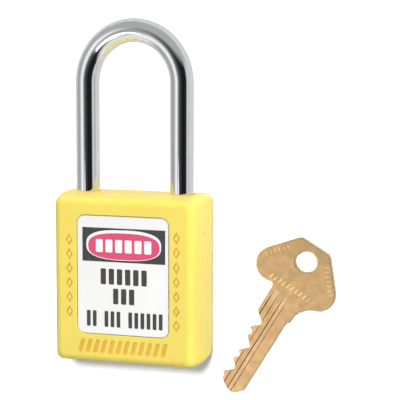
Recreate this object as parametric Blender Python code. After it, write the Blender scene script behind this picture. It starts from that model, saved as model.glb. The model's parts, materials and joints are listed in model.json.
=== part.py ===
"""Safety lockout padlock with its key, laid on its back.

The padlock has a moulded plastic body, a chromed steel shackle held by two locking balls, and a
six-pin cylinder. Frame: origin at the centre of the back face, +X to the right as seen from the
front, +Y towards the shackle, +Z out of the front face. Units are metres.
Rest pose: shackle down, plug at its open position, locking balls drawn in, key lying beside.
Inner pieces are laid out in the lock's own frame, which has X across, Y as the height above the
body's bottom face and Z from the middle of the body's depth.
"""

import math

import bmesh
import bpy
import numpy as np
from mathutils import Matrix, Vector

MM = 0.001

# Fits
GAP = 0.3 * MM  # between any two pieces that touch or slide on each other
OVERSHOOT = 1.0 * MM  # of a cutter past the surface that it opens, or of a joined shape into the other

# Body
BODY_DEPTH = 20.0 * MM
LEG_WALL = 3.275 * MM  # plastic beside each leg's bore, which sets the body's width
SEAT_WALL = 2.7 * MM  # plastic between the cylinder and the short leg's bore
CAVITY_ROOF = 2.25 * MM  # plastic over the cam
CORNER_RADIUS = 2.2 * MM  # of the outline seen from the front
CORNER_EASE = 0.4  # of the corner radius, for each unit that the outline is set in
SIDE_BULGE = 1.2 * MM  # the four sides stand this far proud at mid depth
SIDE_BAND = 4.0 * MM  # depth of the flat strip along the middle of each side
FRONT_EDGE_RADIUS = 2.0 * MM
BACK_EDGE_RADIUS = 0.4 * MM
LABEL_WIDTH = 24.8 * MM
LABEL_HEIGHT = 31.0 * MM
LABEL_RISE = 1.55 * MM  # label centre above the body's centre
LABEL_CORNER_RADIUS = 2.0 * MM
LABEL_THICKNESS = 0.4 * MM
LABEL_SINK = 0.2 * MM  # label face below the front face

# Shackle
SHACKLE_RADIUS = 3.175 * MM
LEG_SPACING = 26.2 * MM  # between leg centres
SHACKLE_CLEARANCE = 39.4 * MM  # body top to the inside of the arch
ARCH_RISE = 13.8 * MM  # from the end of the straight legs to the arch's centreline
TOE_DEPTH = 9.0 * MM  # of the short leg in the body
HEEL_DEPTH = 28.4 * MM  # of the long leg in the body
LEG_CHAMFER = 0.6 * MM
SHACKLE_LIFT = 10.5 * MM
NECK_END_SLOPE = 0.6 * MM
SPRING_WIRE_RADIUS = 0.45 * MM
SPRING_TURNS = 6
SPRING_SEAT_HEIGHT = 6.85 * MM  # floor of the long leg's bore above the body's bottom

# Locking balls and cam. The balls fill the space between the cam's low side and the legs.
BALL_TRAVEL = 1.3 * MM
BALL_DEPTH = 4.95 * MM  # ball centres below the body's top
CAM_LOW_RADIUS = 4.525 * MM
CAM_HALF_HEIGHT = 2.45 * MM
CAM_SHAFT_RADIUS = 3.6 * MM
TONGUE_WIDTH = 1.6 * MM
TONGUE_LENGTH = 1.5 * MM

# Cylinder
FACE_RECESS = 1.35 * MM
PLUG_WALL = 0.7 * MM  # beyond each end of the keyway
SHELL_WALL = 1.3 * MM
SHELL_END_WALL = 0.8 * MM  # between the last pin and the screw
BIBLE_WALL = 0.8 * MM  # of the pin housing beyond the screw
BIBLE_WIDTH = 5.4 * MM
COVER_THICKNESS = 0.6 * MM
PIN_RADIUS = 1.3 * MM
PIN_WALL = 0.45 * MM  # between neighbouring pin chambers
FIRST_PIN = 4.6 * MM  # from the plug's face
DRIVER_LENGTH = 3.2 * MM
PIN_SPRING_WIRE_RADIUS = 0.2 * MM
PIN_SPRING_TURNS = 5
PIN_TIP = 0.6 * MM
SHEAR_DROP = 0.4 * MM  # key pin ends below the plug's surface
CLIP_THICKNESS = 0.8 * MM
CLIP_OVERHANG = 1.2 * MM  # clip beyond the plug's surface
CLIP_MOUTH_DEG = 80.0
CLIP_GROOVE_DEPTH = 0.8 * MM
PLUG_TAIL = 1.0 * MM  # plug beyond its clip groove
SCREW_SHANK_RADIUS = 1.1 * MM
SCREW_HEAD_RADIUS = 2.4 * MM
SCREW_HEAD_HEIGHT = 1.5 * MM
SCREW_SLOT_WIDTH = 0.7 * MM
SCREW_SLOT_DEPTH = 0.75 * MM
SCREW_GRIP = 4.6 * MM  # depth of the screw in the pin housing

# Key
BLADE_END = 2.35 * MM  # blade beyond its last cut
NECK_LENGTH = 4.2 * MM  # shoulder to the bow
BLADE_WIDTH = 8.3 * MM
KEY_THICKNESS = 2.0 * MM
CUT_HEIGHTS = [height * MM for height in (5.6, 6.5, 4.9, 6.1, 5.2, 6.7)]  # above the spine
CUT_FLAT = 1.0 * MM
CUT_SLOPE_DEG = 48.0
TIP_HEIGHT = 2.4 * MM  # tip above the spine
TIP_CHAMFER = 1.4 * MM
GROOVE_WIDTH = 1.5 * MM
GROOVE_DEPTH = 0.55 * MM
BOW_HEIGHT = 17.4 * MM
LOBE_RADIUS = 4.5 * MM
LOBE_OFFSET = 7.3 * MM  # lobe centres from the key's axis
LOBE_RISE = 7.0 * MM  # lobe centres above the neck's end
BOW_CORNER_OFFSET = 3.4 * MM
BOW_CORNER_RADIUS = 2.4 * MM
BOW_SLANT_DEG = 50.0  # of the bow's slanted sides' outward direction, from the key's axis
NOTCH_RADIUS = 1.3 * MM  # under the lobe on the toothed side
SWEEP_RADIUS = 6.2 * MM  # under the lobe on the plain side
SHOULDER_WIDTH = 0.7 * MM
KEY_HOLE_RADIUS = 3.0 * MM
KEY_HOLE_INSET = 4.9 * MM  # hole centre from the bow's end
KEY_TIP = (23.3 * MM, -31.15 * MM)  # where the tip lies
KEY_ANGLE_DEG = 59.0  # key's axis from +X

# Facets
ROUND = 32
LEG_SIDES = 20
SMALL_ROUND = 14
TINY_ROUND = 10
ARCH_STEPS = 24

# Worked out from the driving dimensions
MID_DEPTH = BODY_DEPTH / 2
LEG_X = LEG_SPACING / 2
LEG_BORE_RADIUS = SHACKLE_RADIUS + GAP
BIBLE_REACH = LEG_X + SCREW_SHANK_RADIUS + BIBLE_WALL  # pin housing, from the plug's axis
BODY_WIDTH = LEG_SPACING + 2 * (LEG_BORE_RADIUS + LEG_WALL)
KEYWAY_WIDTH = KEY_THICKNESS + GAP
KEYWAY_HEIGHT = BLADE_WIDTH + GAP
PLUG_RADIUS = KEYWAY_HEIGHT / 2 + PLUG_WALL
PLUG_GROOVE_RADIUS = PLUG_RADIUS - CLIP_GROOVE_DEPTH
SHELL_RADIUS = PLUG_RADIUS + GAP + SHELL_WALL
POCKET_RADIUS = SHELL_RADIUS + GAP
CHAMBER_RADIUS = PIN_RADIUS + GAP
PIN_PITCH = 2 * CHAMBER_RADIUS + PIN_WALL
PIN_PLACES = [FIRST_PIN + i * PIN_PITCH for i in range(len(CUT_HEIGHTS))]  # from the plug's face
PIN_HEIGHTS = [FACE_RECESS + place for place in PIN_PLACES]
SHELL_END = PIN_HEIGHTS[-1] + CHAMBER_RADIUS + SHELL_END_WALL + GAP + SCREW_GRIP
CLIP_START = SHELL_END + GAP
GROOVE_END = CLIP_START + CLIP_THICKNESS + GAP
PLUG_END = GROOVE_END + PLUG_TAIL
TOE_FLOOR = SHELL_END + SEAT_WALL
BODY_HEIGHT = TOE_FLOOR + GAP + SCREW_HEAD_HEIGHT + GAP + TOE_DEPTH
BALL_HEIGHT = BODY_HEIGHT - BALL_DEPTH
BALL_RADIUS = (LEG_X - SHACKLE_RADIUS - CAM_LOW_RADIUS - 2 * GAP) / 2
BALL_IN = CAM_LOW_RADIUS + GAP + BALL_RADIUS
BALL_OUT = BALL_IN + BALL_TRAVEL
BLADE_LENGTH = PIN_PLACES[-1] + BLADE_END  # tip to the shoulder that stops on the plug's face
NECK_END = BLADE_LENGTH + NECK_LENGTH
KEY_LENGTH = NECK_END + BOW_HEIGHT

AXIS_X = Matrix.Rotation(math.radians(-90), 4, "Z")
AXIS_Z = Matrix.Rotation(math.radians(90), 4, "X")


def clear_scene():
    for obj in list(bpy.data.objects):
        bpy.data.objects.remove(obj, do_unlink=True)


def make_material(name, colour, roughness, metallic=0.0):
    material = bpy.data.materials.new(name)
    material.use_nodes = True
    shader = material.node_tree.nodes["Principled BSDF"]
    shader.inputs["Base Color"].default_value = (*colour, 1.0)
    shader.inputs["Roughness"].default_value = roughness
    shader.inputs["Metallic"].default_value = metallic
    return material


def make_empty(name, location):
    empty = bpy.data.objects.new(name, None)
    empty.location = location
    bpy.context.scene.collection.objects.link(empty)
    return empty


def make_object(name, mesh_data, parent, material=None):
    """Turns a bmesh into an object under parent. A piece with no material is a cutter."""
    bmesh.ops.recalc_face_normals(mesh_data, faces=mesh_data.faces)
    mesh = bpy.data.meshes.new(name)
    mesh_data.to_mesh(mesh)
    mesh_data.free()
    obj = bpy.data.objects.new(name, mesh)
    bpy.context.scene.collection.objects.link(obj)
    obj.parent = parent
    if material is None:
        obj.hide_render = True
        obj.display_type = "WIRE"
    else:
        mesh.materials.append(material)
        mesh.shade_smooth()
        mesh.set_sharp_from_angle(angle=math.radians(35))
    return obj


def combine(target, other, operation="DIFFERENCE"):
    modifier = target.modifiers.new(f"{operation.lower()} {other.name}", "BOOLEAN")
    modifier.operation = operation
    modifier.object = other


def cut(target, name, mesh_data):
    combine(target, make_object(f"cutter_{name}", mesh_data, target.parent))


def skin_rings(rings, closed=False):
    """A mesh through rings of points with equal counts, with flat ends unless it closes on itself."""
    mesh_data = bmesh.new()
    loops = [[mesh_data.verts.new(point) for point in ring] for ring in rings]
    spans = list(zip(loops, loops[1:]))
    if closed:
        spans.append((loops[-1], loops[0]))
    else:
        mesh_data.faces.new(loops[0])
        mesh_data.faces.new(loops[-1])
    for lower, upper in spans:
        for i in range(len(lower)):
            j = (i + 1) % len(lower)
            mesh_data.faces.new((lower[i], lower[j], upper[j], upper[i]))
    return mesh_data


def moved(mesh_data, matrix=None, offset=(0, 0, 0)):
    if matrix is not None:
        bmesh.ops.transform(mesh_data, matrix=matrix, verts=mesh_data.verts)
    bmesh.ops.translate(mesh_data, vec=offset, verts=mesh_data.verts)
    return mesh_data


def turned(profile, sides=ROUND, closed=False):
    """A turned piece about the Y axis, from (radius, height) pairs. A closed profile makes a ring."""
    angles = [2 * math.pi * i / sides for i in range(sides)]
    rings = [[(r * math.cos(a), h, r * math.sin(a)) for a in angles] for r, h in profile]
    return skin_rings(rings, closed)


def rod(radius, start, end, sides=ROUND):
    return turned([(radius, start), (radius, end)], sides)


def box(low, high):
    mesh_data = bmesh.new()
    bmesh.ops.create_cube(mesh_data, size=1)
    low, high = Vector(low), Vector(high)
    bmesh.ops.scale(mesh_data, vec=high - low, verts=mesh_data.verts)
    return moved(mesh_data, offset=(low + high) / 2)


def arc(centre, radius, start_deg, end_deg, steps):
    """Points on an arc, with both of its ends."""
    angles = np.radians(np.linspace(start_deg, end_deg, steps + 1))
    return [(centre[0] + radius * math.cos(a), centre[1] + radius * math.sin(a)) for a in angles]


def prism(outline, low, high):
    """An outline in X and Y, drawn out from low to high in Z."""
    return skin_rings([[(x, y, z) for x, y in outline] for z in (low, high)])


def rounded_rectangle(width, height, radius):
    corners = ((1, 1, 0), (-1, 1, 90), (-1, -1, 180), (1, -1, 270))
    outline = []
    for side, end, start_deg in corners:
        centre = (side * (width / 2 - radius), end * (height / 2 - radius))
        outline += arc(centre, radius, start_deg, start_deg + 90, 4)
    return outline


def tube(centres, tangents, up, radius, sides):
    """Rings about a path that lies across the direction up, one for each centre and radius."""
    rings = []
    for centre, tangent, ring_radius in zip(centres, tangents, radius):
        side = tangent.cross(up).normalized()
        angles = [2 * math.pi * i / sides for i in range(sides)]
        spokes = [side * math.cos(a) + up * math.sin(a) for a in angles]
        rings.append([centre + spoke * ring_radius for spoke in spokes])
    return rings


def coil(mean_radius, wire_radius, start, end, turns, steps=12, sides=6):
    """A coil spring about the Y axis, with its wire inside start and end."""
    low, high = start + wire_radius, end - wire_radius
    count = int(turns * steps)
    rings = []
    for i in range(count + 1):
        angle = 2 * math.pi * i / steps
        out = Vector((math.cos(angle), 0, math.sin(angle)))
        along = Vector((-math.sin(angle), (high - low) / (2 * math.pi * turns * mean_radius),
                        math.cos(angle))).normalized()
        centre = out * mean_radius + Vector((0, low + (high - low) * i / count, 0))
        spokes = [2 * math.pi * k / sides for k in range(sides)]
        across = along.cross(out)
        rings.append([centre + (out * math.cos(s) + across * math.sin(s)) * wire_radius for s in spokes])
    return skin_rings(rings)


def side_half(edge_radius):
    """Half of a side, from mid depth to a face, as (how far it is set in, distance from mid depth)."""
    half_band = SIDE_BAND / 2
    radius = ((MID_DEPTH - half_band)**2 + SIDE_BULGE**2) / (2 * SIDE_BULGE)
    edge_z = MID_DEPTH - edge_radius
    edge_inset = radius - math.sqrt((radius - edge_radius)**2 - (edge_z - half_band)**2)
    meet_deg = 180 - math.degrees(math.atan2(edge_z - half_band, radius - edge_inset))
    side = arc((radius, half_band), radius, 180, meet_deg, 3)
    return side + arc((edge_inset, edge_z), edge_radius, meet_deg, 90, 4)[1:]


def body_blank():
    """A rounded block whose four sides stand proud at mid depth."""
    back = [(inset, -z) for inset, z in side_half(BACK_EDGE_RADIUS)]
    rings = []
    for inset, z in back[::-1] + side_half(FRONT_EDGE_RADIUS):
        outline = rounded_rectangle(BODY_WIDTH - 2 * inset, BODY_HEIGHT - 2 * inset,
                                    CORNER_RADIUS - CORNER_EASE * inset)
        rings.append([(x, BODY_HEIGHT / 2 + y, z) for x, y in outline])
    return skin_rings(rings)


def make_body(frame, material):
    """The moulded shell, with the pockets that its mechanism goes into from below."""
    body = make_object("body_shell", body_blank(), frame, material)
    outside = BODY_HEIGHT + OVERSHOOT
    outline = rounded_rectangle(LABEL_WIDTH + 2 * GAP, LABEL_HEIGHT + 2 * GAP, LABEL_CORNER_RADIUS + GAP)
    recess_floor = MID_DEPTH - LABEL_SINK - LABEL_THICKNESS - GAP
    recess = prism(outline, recess_floor, MID_DEPTH + OVERSHOOT)
    cut(body, "label_recess", moved(recess, offset=(0, BODY_HEIGHT / 2 + LABEL_RISE, 0)))
    heel_bore = rod(LEG_BORE_RADIUS, SPRING_SEAT_HEIGHT, outside, LEG_SIDES)
    cut(body, "heel_bore", moved(heel_bore, offset=(-LEG_X, 0, 0)))
    toe_bore = rod(LEG_BORE_RADIUS, TOE_FLOOR, outside, LEG_SIDES)
    cut(body, "toe_bore", moved(toe_bore, offset=(LEG_X, 0, 0)))
    screw_hole = rod(SCREW_SHANK_RADIUS + GAP, SHELL_END, TOE_FLOOR + OVERSHOOT, SMALL_ROUND)
    cut(body, "screw_hole", moved(screw_hole, offset=(LEG_X, 0, 0)))
    cut(body, "cylinder_pocket", rod(POCKET_RADIUS, -OVERSHOOT, BODY_HEIGHT - CAVITY_ROOF))
    slot_width = BIBLE_WIDTH / 2 + GAP
    slot_reach = BIBLE_REACH + GAP + COVER_THICKNESS + GAP
    slot = box((0, -OVERSHOOT, -slot_width), (slot_reach, SHELL_END + GAP, slot_width))
    cut(body, "bible_slot", slot)
    channel = rod(BALL_RADIUS + GAP, -LEG_X, LEG_X, LEG_SIDES)
    cut(body, "ball_channel", moved(channel, AXIS_X, (0, BALL_HEIGHT, 0)))


def make_label(frame, material):
    outline = rounded_rectangle(LABEL_WIDTH, LABEL_HEIGHT, LABEL_CORNER_RADIUS)
    face = MID_DEPTH - LABEL_SINK
    plate = prism(outline, face - LABEL_THICKNESS, face)
    make_object("front_label", moved(plate, offset=(0, BODY_HEIGHT / 2 + LABEL_RISE, 0)), frame, material)


def make_shackle(frame, material):
    """One bent bar: long leg at -X, half-elliptical arch, short leg at +X, with chamfered ends."""
    inside_rise = ARCH_RISE - SHACKLE_RADIUS
    arch_base = BODY_HEIGHT + SHACKLE_CLEARANCE - inside_rise
    up = Vector((0, 1, 0))
    path = []
    for x, bottom, way in ((-LEG_X, BODY_HEIGHT - HEEL_DEPTH, 1), (LEG_X, BODY_HEIGHT - TOE_DEPTH, -1)):
        leg = [(bottom, SHACKLE_RADIUS - LEG_CHAMFER), (bottom + LEG_CHAMFER, SHACKLE_RADIUS),
               (BODY_HEIGHT, SHACKLE_RADIUS)]
        stations = [(Vector((x, height, 0)), up * way, radius) for height, radius in leg]
        path.append(stations[::way])
    arch = []
    for angle in np.linspace(math.pi, 0, ARCH_STEPS + 1):
        centre = Vector((LEG_X * math.cos(angle), arch_base + ARCH_RISE * math.sin(angle), 0))
        tangent = Vector((LEG_X * math.sin(angle), -ARCH_RISE * math.cos(angle), 0)).normalized()
        arch.append((centre, tangent, SHACKLE_RADIUS))
    centres, tangents, radii = zip(*(path[0] + arch + path[1]))
    bar = skin_rings(tube(centres, tangents, Vector((0, 0, 1)), radii, LEG_SIDES))
    shackle = make_object("shackle", bar, frame, material)

    for name, side in (("heel_notch", -1), ("toe_notch", 1)):
        notch = bmesh.new()
        bmesh.ops.create_uvsphere(notch, u_segments=LEG_SIDES, v_segments=12, radius=BALL_RADIUS + GAP)
        cut(shackle, name, moved(notch, offset=(side * BALL_OUT, BALL_HEIGHT, 0)))
    neck_radius = LEG_X - BALL_OUT - BALL_RADIUS - GAP
    neck_middle = BALL_HEIGHT - SHACKLE_LIFT
    half = BALL_RADIUS + GAP
    outer = LEG_BORE_RADIUS
    ring = turned([(neck_radius, neck_middle - half), (outer, neck_middle - half - NECK_END_SLOPE),
                   (outer, neck_middle + half + NECK_END_SLOPE), (neck_radius, neck_middle + half)],
                  LEG_SIDES, closed=True)
    cut(shackle, "heel_neck", moved(ring, offset=(-LEG_X, 0, 0)))


def make_shackle_spring(frame, material):
    top = BODY_HEIGHT - HEEL_DEPTH - GAP
    mean_radius = SHACKLE_RADIUS - LEG_CHAMFER - SPRING_WIRE_RADIUS
    spring = coil(mean_radius, SPRING_WIRE_RADIUS, SPRING_SEAT_HEIGHT + GAP, top, SPRING_TURNS)
    make_object("shackle_spring", moved(spring, offset=(-LEG_X, 0, 0)), frame, material)


def make_cylinder_shell(frame, material):
    """A round housing for the plug with the pin housing on its +X side, chambered for six pins."""
    shell = make_object("cylinder_shell", rod(SHELL_RADIUS, FACE_RECESS, SHELL_END), frame, material)
    half = BIBLE_WIDTH / 2
    housing = box((0, FACE_RECESS, -half), (BIBLE_REACH, SHELL_END, half))
    combine(shell, make_object("joined_pin_housing", housing, frame), "UNION")
    cut(shell, "plug_bore", rod(PLUG_RADIUS + GAP, -OVERSHOOT, SHELL_END + OVERSHOOT))
    for i, height in enumerate(PIN_HEIGHTS):
        chamber = rod(CHAMBER_RADIUS, 0, BIBLE_REACH + OVERSHOOT, SMALL_ROUND)
        cut(shell, f"chamber_{i + 1}", moved(chamber, AXIS_X, (0, height, 0)))
    thread = rod(SCREW_SHANK_RADIUS + GAP, SHELL_END - SCREW_GRIP - GAP, SHELL_END + OVERSHOOT, SMALL_ROUND)
    cut(shell, "screw_thread", moved(thread, offset=(LEG_X, 0, 0)))


def make_spring_cover(frame, material):
    start = BIBLE_REACH + GAP
    half = BIBLE_WIDTH / 2 - GAP
    low = PIN_HEIGHTS[0] - PIN_RADIUS - 3 * GAP
    high = PIN_HEIGHTS[-1] + PIN_RADIUS + 3 * GAP
    strip = box((start, low, -half), (start + COVER_THICKNESS, high, half))
    make_object("spring_cover", strip, frame, material)


def make_plug(axis, material):
    profile = [(PLUG_RADIUS, FACE_RECESS), (PLUG_RADIUS, SHELL_END), (PLUG_GROOVE_RADIUS, SHELL_END),
               (PLUG_GROOVE_RADIUS, GROOVE_END), (PLUG_RADIUS, GROOVE_END), (PLUG_RADIUS, PLUG_END)]
    plug = make_object("plug", turned(profile), axis, material)
    half_width, half_height = KEYWAY_WIDTH / 2, KEYWAY_HEIGHT / 2
    keyway_end = FACE_RECESS + BLADE_LENGTH + GAP
    keyway = box((-half_width, -OVERSHOOT, -half_height), (half_width, keyway_end, half_height))
    cut(plug, "keyway", keyway)
    for i, height in enumerate(PIN_HEIGHTS):
        hole = rod(CHAMBER_RADIUS, 0, PLUG_RADIUS + OVERSHOOT, SMALL_ROUND)
        cut(plug, f"pin_hole_{i + 1}", moved(hole, AXIS_Z, (0, height, 0)))
    half, reach = TONGUE_WIDTH / 2 + GAP, PLUG_RADIUS + OVERSHOOT
    slot = box((-half, PLUG_END - TONGUE_LENGTH, -reach), (half, PLUG_END + OVERSHOOT, reach))
    cut(plug, "tail_slot", slot)


def make_key_pins(axis, material):
    """Pins cut to the key: their upper ends line up when the key is in."""
    spine = -BLADE_WIDTH / 2
    top = PLUG_RADIUS - SHEAR_DROP
    for i, (height, cut_height) in enumerate(zip(PIN_HEIGHTS, CUT_HEIGHTS)):
        tip = spine + cut_height + GAP
        profile = [(PIN_RADIUS - PIN_TIP, tip), (PIN_RADIUS, tip + PIN_TIP), (PIN_RADIUS, top)]
        pin = moved(turned(profile, SMALL_ROUND), AXIS_Z, (0, height, 0))
        make_object(f"key_pin_{i + 1}", pin, axis, material)


def make_drivers_and_springs(frame, pin_material, spring_material):
    start = PLUG_RADIUS + GAP
    spring_start = start + DRIVER_LENGTH + GAP
    mean_radius = PIN_RADIUS - PIN_SPRING_WIRE_RADIUS
    for i, height in enumerate(PIN_HEIGHTS):
        place = (0, height, 0)
        driver = moved(rod(PIN_RADIUS, start, start + DRIVER_LENGTH, SMALL_ROUND), AXIS_X, place)
        make_object(f"driver_pin_{i + 1}", driver, frame, pin_material)
        spring = coil(mean_radius, PIN_SPRING_WIRE_RADIUS, spring_start, BIBLE_REACH, PIN_SPRING_TURNS,
                      steps=TINY_ROUND, sides=5)
        make_object(f"pin_spring_{i + 1}", moved(spring, AXIS_X, place), frame, spring_material)


def make_plug_clip(axis, material):
    """An open ring in the plug's groove, which holds the plug in its housing."""
    half_mouth = CLIP_MOUTH_DEG / 2
    outer = arc((0, 0), PLUG_RADIUS + CLIP_OVERHANG, half_mouth, 360 - half_mouth, 18)
    inner = arc((0, 0), PLUG_GROOVE_RADIUS + GAP, 360 - half_mouth, half_mouth, 18)
    heights = (CLIP_START, CLIP_START + CLIP_THICKNESS)
    rings = [[(x, height, z) for x, z in outer + inner] for height in heights]
    make_object("plug_clip", skin_rings(rings), axis, material)


def make_cam(axis, material):
    """Shaft and oval head. The head's radius grows evenly with the angle, so the balls move evenly."""
    head_low, head_high = BALL_HEIGHT - CAM_HALF_HEIGHT, BALL_HEIGHT + CAM_HALF_HEIGHT
    shaft_start = PLUG_END + GAP
    cam = make_object("cam", rod(CAM_SHAFT_RADIUS, shaft_start, head_low + OVERSHOOT), axis, material)
    outline = []
    for angle in range(0, 360, 10):
        radius = CAM_LOW_RADIUS + BALL_TRAVEL * (1 - abs(90 - angle % 180) / 90)
        outline.append((radius * math.cos(math.radians(angle)), radius * math.sin(math.radians(angle))))
    head = skin_rings([[(x, height, z) for x, z in outline] for height in (head_low, head_high)])
    combine(cam, make_object("joined_cam_head", head, axis), "UNION")
    half, reach = TONGUE_WIDTH / 2, CAM_SHAFT_RADIUS - GAP
    tongue = box((-half, PLUG_END - TONGUE_LENGTH + GAP, -reach), (half, shaft_start + OVERSHOOT, reach))
    combine(cam, make_object("joined_tongue", tongue, axis), "UNION")


def make_ball(name, side, frame, material):
    ball = bmesh.new()
    bmesh.ops.create_uvsphere(ball, u_segments=16, v_segments=10, radius=BALL_RADIUS)
    obj = make_object(name, ball, frame, material)
    obj.location = (side * BALL_IN, BALL_HEIGHT, 0)


def make_cylinder_screw(frame, material):
    """Slotted screw under the short leg, from the floor of its bore into the pin housing."""
    head_low = TOE_FLOOR + GAP
    head_high = head_low + SCREW_HEAD_HEIGHT
    profile = [(SCREW_SHANK_RADIUS, SHELL_END - SCREW_GRIP), (SCREW_SHANK_RADIUS, head_low),
               (SCREW_HEAD_RADIUS, head_low), (SCREW_HEAD_RADIUS, head_high)]
    blank = moved(turned(profile, LEG_SIDES), offset=(LEG_X, 0, 0))
    screw = make_object("cylinder_screw", blank, frame, material)
    half, reach = SCREW_SLOT_WIDTH / 2, SCREW_HEAD_RADIUS + OVERSHOOT
    slot = box((-half, head_high - SCREW_SLOT_DEPTH, -reach), (half, head_high + OVERSHOOT, reach))
    cut(screw, "screw_slot", moved(slot, offset=(LEG_X, 0, 0)))


def cut_edge():
    """The blade's toothed edge, from the shoulder to the tip, as (distance from the tip, height)."""
    slope = math.tan(math.radians(CUT_SLOPE_DEG))
    places = [BLADE_LENGTH - place for place in PIN_PLACES]
    half = CUT_FLAT / 2
    ramp = (BLADE_WIDTH - CUT_HEIGHTS[0]) / slope
    edge = [(places[0] + half + ramp, BLADE_WIDTH)]
    for i, (place, height) in enumerate(zip(places, CUT_HEIGHTS)):
        edge += [(place + half, height), (place - half, height)]
        if i + 1 < len(places):
            following = CUT_HEIGHTS[i + 1]
            run = (PIN_PITCH - CUT_FLAT + (following - height) / slope) / 2
            edge.append((place - half - run, height + run * slope))
    return edge


def hollow_to_lobe(base, radius, steps):
    """A hollow arc that starts level on a straight edge at distance base and runs into a lobe."""
    reach = LOBE_RADIUS + radius
    side = LOBE_OFFSET - base - radius
    run = math.sqrt(reach**2 - side**2)
    centre = (NECK_END + LOBE_RISE - run, base + radius)
    touch_deg = math.degrees(math.atan2(side, run))
    return arc(centre, radius, -90, touch_deg, steps), touch_deg - 180


def key_side(base, radius, steps):
    """One side of the bow, from the neck to the flat end, on the +Y side."""
    hollow, lobe_start_deg = hollow_to_lobe(base, radius, steps)
    lobe_centre = (NECK_END + LOBE_RISE, LOBE_OFFSET)
    lobe = arc(lobe_centre, LOBE_RADIUS, 360 + lobe_start_deg, BOW_SLANT_DEG, 10)
    corner = arc((KEY_LENGTH - BOW_CORNER_RADIUS, BOW_CORNER_OFFSET), BOW_CORNER_RADIUS, BOW_SLANT_DEG, 0, 4)
    return hollow + lobe[1:] + corner


def key_outline():
    """Closed outline with the tip at the origin and the bow along +X. Teeth are on the +Y side."""
    middle = BLADE_WIDTH / 2
    teeth = [(u, height - middle) for u, height in cut_edge()]
    tip = [(0, TIP_HEIGHT + TIP_CHAMFER - middle), (0, TIP_HEIGHT - middle), (TIP_HEIGHT, -middle)]
    toothed_side = key_side(middle, NOTCH_RADIUS, 5)
    plain_side = [(u, -v) for u, v in key_side(middle + SHOULDER_WIDTH, SWEEP_RADIUS, 8)]
    shoulder = [(BLADE_LENGTH, -middle - SHOULDER_WIDTH), (BLADE_LENGTH, -middle)]
    return toothed_side + plain_side[::-1] + shoulder + tip[::-1] + teeth[::-1]


def make_key(material):
    length_axis = Matrix.Rotation(math.radians(KEY_ANGLE_DEG), 4, "Z")
    place = make_empty("key_place", (*KEY_TIP, 0))
    place.matrix_world = Matrix.Translation((*KEY_TIP, 0)) @ length_axis
    key = make_object("key", prism(key_outline(), 0, KEY_THICKNESS), place, material)
    hole = rod(KEY_HOLE_RADIUS, -OVERSHOOT, KEY_THICKNESS + OVERSHOOT, LEG_SIDES)
    cut(key, "ring_hole", moved(hole, AXIS_Z, (KEY_LENGTH - KEY_HOLE_INSET, 0, 0)))
    groove_end = NECK_END
    front_low = -GROOVE_WIDTH
    front = box((-OVERSHOOT, front_low, KEY_THICKNESS - GROOVE_DEPTH),
                (groove_end, front_low + GROOVE_WIDTH, KEY_THICKNESS + OVERSHOOT))
    cut(key, "front_groove", front)
    back = box((-OVERSHOOT, -2 * GROOVE_WIDTH, -OVERSHOOT), (groove_end, -GROOVE_WIDTH - GAP, GROOVE_DEPTH))
    cut(key, "back_groove", back)


def main():
    clear_scene()
    plastic = make_material("yellow_plastic", (0.93, 0.73, 0.13), 0.32)
    printed = make_material("label_film", (0.92, 0.92, 0.92), 0.35)
    chrome = make_material("chromed_steel", (0.75, 0.75, 0.76), 0.08, 1.0)
    steel = make_material("steel", (0.55, 0.55, 0.57), 0.3, 1.0)
    spring_steel = make_material("spring_steel", (0.45, 0.46, 0.48), 0.35, 1.0)
    brass = make_material("brass", (0.72, 0.53, 0.25), 0.3, 1.0)

    frame = make_empty("lock_frame", (0, -BODY_HEIGHT / 2, MID_DEPTH))
    axis = make_empty("plug_axis", (0, -BODY_HEIGHT / 2, MID_DEPTH))
    make_body(frame, plastic)
    make_label(frame, printed)
    make_shackle(frame, chrome)
    make_shackle_spring(frame, spring_steel)
    make_cylinder_shell(frame, brass)
    make_spring_cover(frame, brass)
    make_plug(axis, brass)
    make_key_pins(axis, brass)
    make_drivers_and_springs(frame, brass, spring_steel)
    make_plug_clip(axis, spring_steel)
    make_cam(axis, steel)
    make_ball("ball_left", -1, frame, steel)
    make_ball("ball_right", 1, frame, steel)
    make_cylinder_screw(frame, steel)
    make_key(brass)


main()
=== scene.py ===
"""Safety lockout padlock with its key, laid on its back: fine meshes, materials, studio and camera.

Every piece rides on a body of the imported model. Pieces of the lock, apart from its label, are built in
the lock's own frame: X across, Y as the height above the body's bottom face, Z from the middle of its depth.
The key is built with its tip at the origin, the bow along +X and the teeth on +Y, then laid in place.
"""

import json
import math

import bmesh
import bpy
import numpy as np
from mathutils import Matrix, Vector


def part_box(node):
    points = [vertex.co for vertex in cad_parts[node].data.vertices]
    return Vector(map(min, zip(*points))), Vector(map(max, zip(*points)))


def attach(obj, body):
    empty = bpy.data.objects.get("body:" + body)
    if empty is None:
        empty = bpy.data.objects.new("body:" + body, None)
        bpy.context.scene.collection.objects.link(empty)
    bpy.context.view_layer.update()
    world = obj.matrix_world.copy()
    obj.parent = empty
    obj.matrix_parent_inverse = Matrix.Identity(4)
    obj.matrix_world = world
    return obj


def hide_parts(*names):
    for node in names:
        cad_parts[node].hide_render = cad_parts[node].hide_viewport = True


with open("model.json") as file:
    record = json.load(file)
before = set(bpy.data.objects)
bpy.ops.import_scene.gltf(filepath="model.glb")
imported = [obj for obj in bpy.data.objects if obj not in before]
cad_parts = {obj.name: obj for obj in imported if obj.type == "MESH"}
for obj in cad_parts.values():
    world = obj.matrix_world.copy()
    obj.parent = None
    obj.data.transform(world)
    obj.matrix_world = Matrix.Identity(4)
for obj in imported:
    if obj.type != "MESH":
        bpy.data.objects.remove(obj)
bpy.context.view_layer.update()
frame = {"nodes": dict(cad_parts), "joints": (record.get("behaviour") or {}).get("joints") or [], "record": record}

MM = 0.001
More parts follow.
